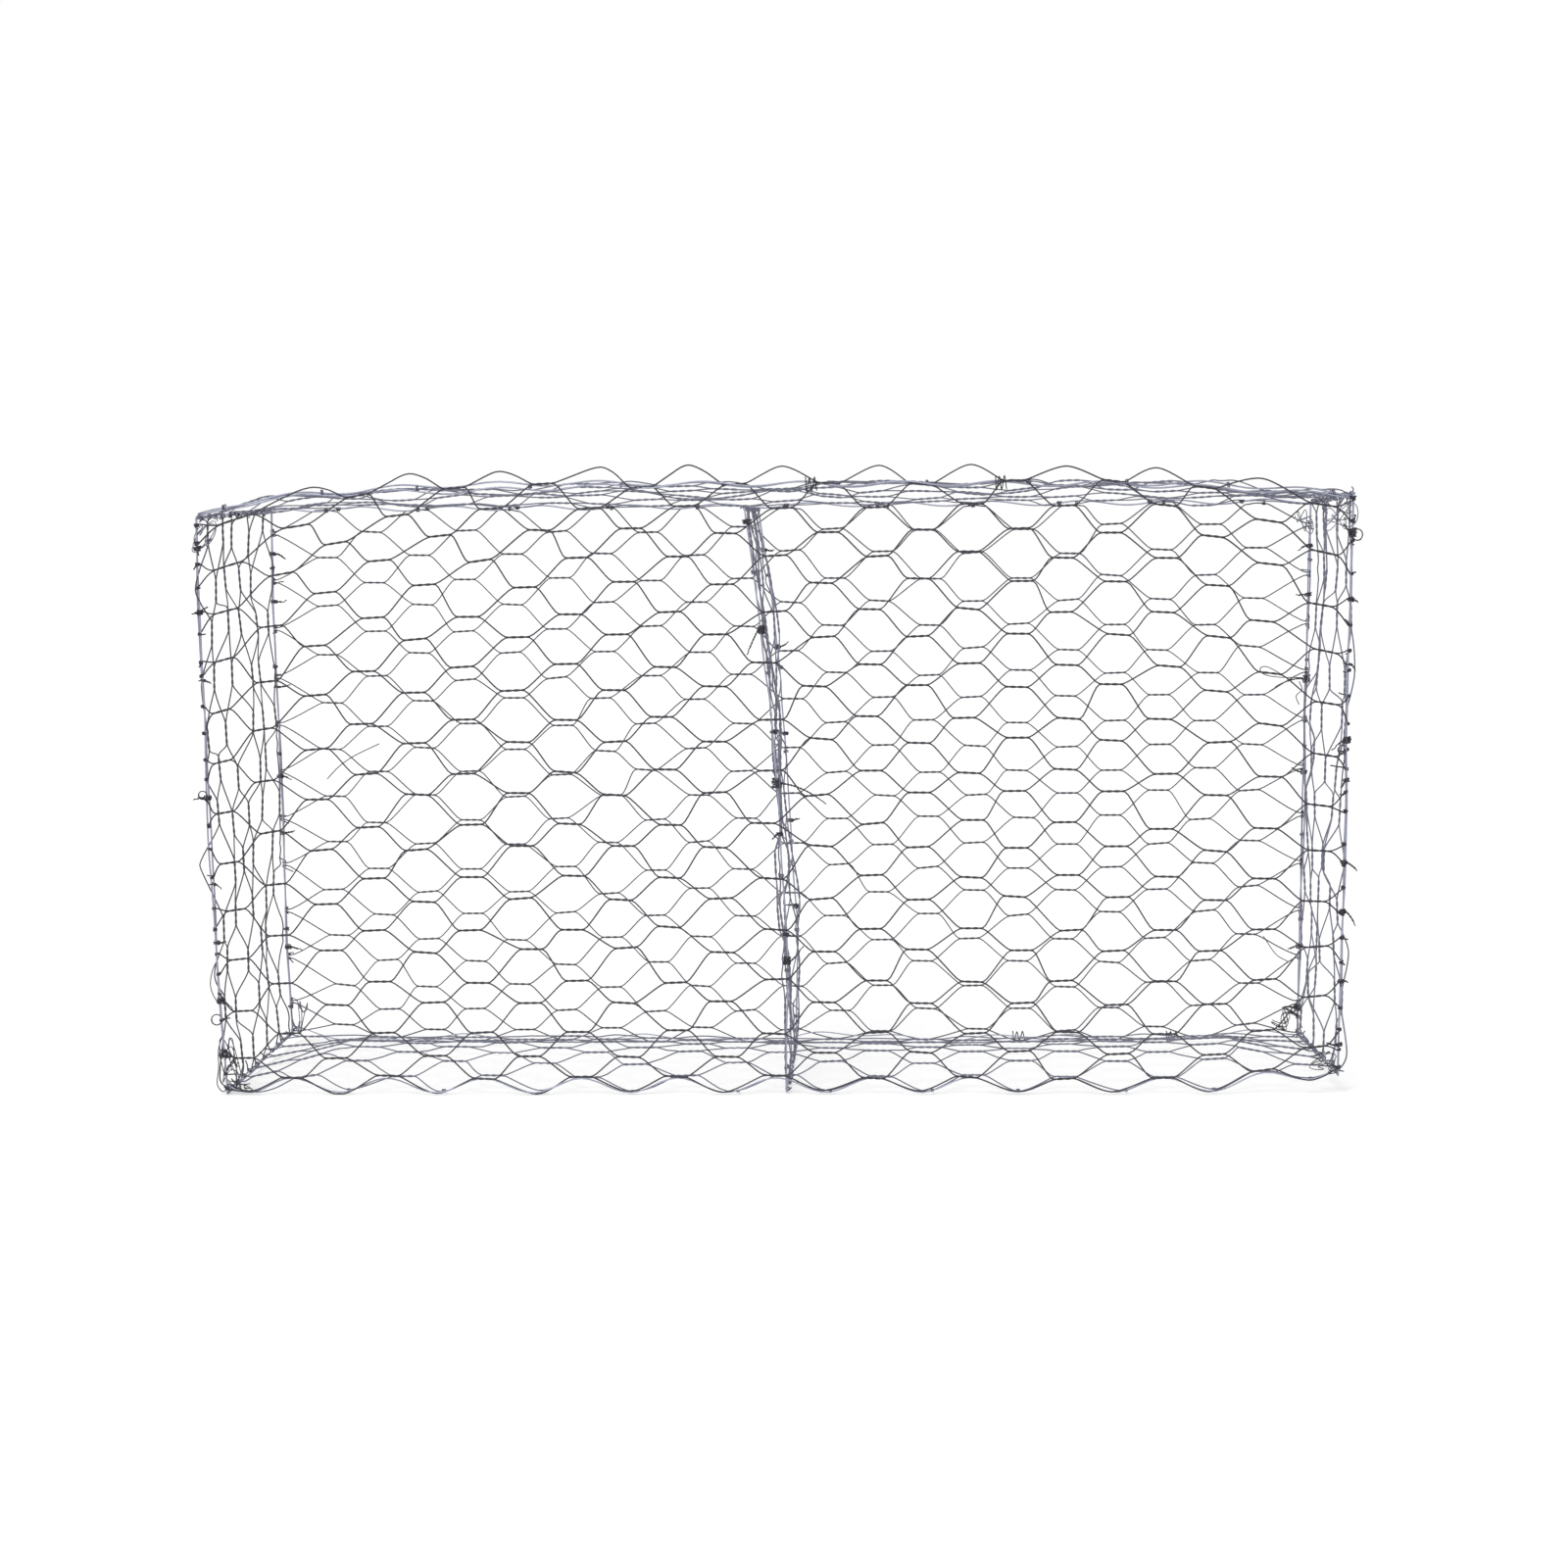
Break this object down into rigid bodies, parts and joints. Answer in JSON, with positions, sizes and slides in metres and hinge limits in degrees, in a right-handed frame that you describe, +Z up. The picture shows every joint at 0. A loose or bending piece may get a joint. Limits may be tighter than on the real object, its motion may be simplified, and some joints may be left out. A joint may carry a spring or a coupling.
{
  "type": "gabion basket",
  "caption": "Box-shaped wire gabion basket of hexagonal double twist mesh, parted into two cells by a divider, with a lid that opens on the rear top edge.",
  "frame": {"origin": "middle of the base, on the floor it stands on", "axes": "+X along the length, +Y from the front sheet to the rear sheet, +Z up"},
  "size_m": [2.005, 0.505, 1.1138],
  "materials": {
    "mesh": "dull zinc coating, slightly spangled",
    "edge": "dull zinc coating on thicker wire",
    "tie": "dull zinc coating on soft tie wire"
  },
  "bodies": {
    "basket": {"back_bottom_wire": "edge", "back_panel": "mesh", "base_left_wire": "edge", "base_panel": "mesh", "base_right_wire": "edge", "diaphragm_back_ties": "tie", "diaphragm_back_wire": "edge", "diaphragm_bottom_wire": "edge", "diaphragm_front_ties": "tie", "diaphragm_front_wire": "edge", "diaphragm_panel": "mesh", "diaphragm_top_wire": "edge", "front_bottom_wire": "edge", "front_panel": "mesh", "front_top_wire": "edge", "hinge_wire": "edge", "left_back_corner_wire": "edge", "left_back_ties": "tie", "left_end_back_wire": "edge", "left_end_bottom_wire": "edge", "left_end_front_wire": "edge", "left_end_panel": "mesh", "left_end_top_wire": "edge", "left_front_corner_wire": "edge", "left_front_ties": "tie", "right_back_corner_wire": "edge", "right_back_ties": "tie", "right_end_back_wire": "edge", "right_end_bottom_wire": "edge", "right_end_front_wire": "edge", "right_end_panel": "mesh", "right_end_top_wire": "edge", "right_front_corner_wire": "edge", "right_front_ties": "tie"},
    "lid": {"lid_front_wire": "edge", "lid_hinge_loops": "tie", "lid_left_wire": "edge", "lid_panel": "mesh", "lid_right_wire": "edge"}
  },
  "joints": [
    {"name": "lid_hinge", "type": "hinge", "parent": "basket", "child": "lid", "pos_m": [0, 0.2483, 1.045], "axis": [-1, 0, 0], "range_deg": [0, 250]}
  ]
}
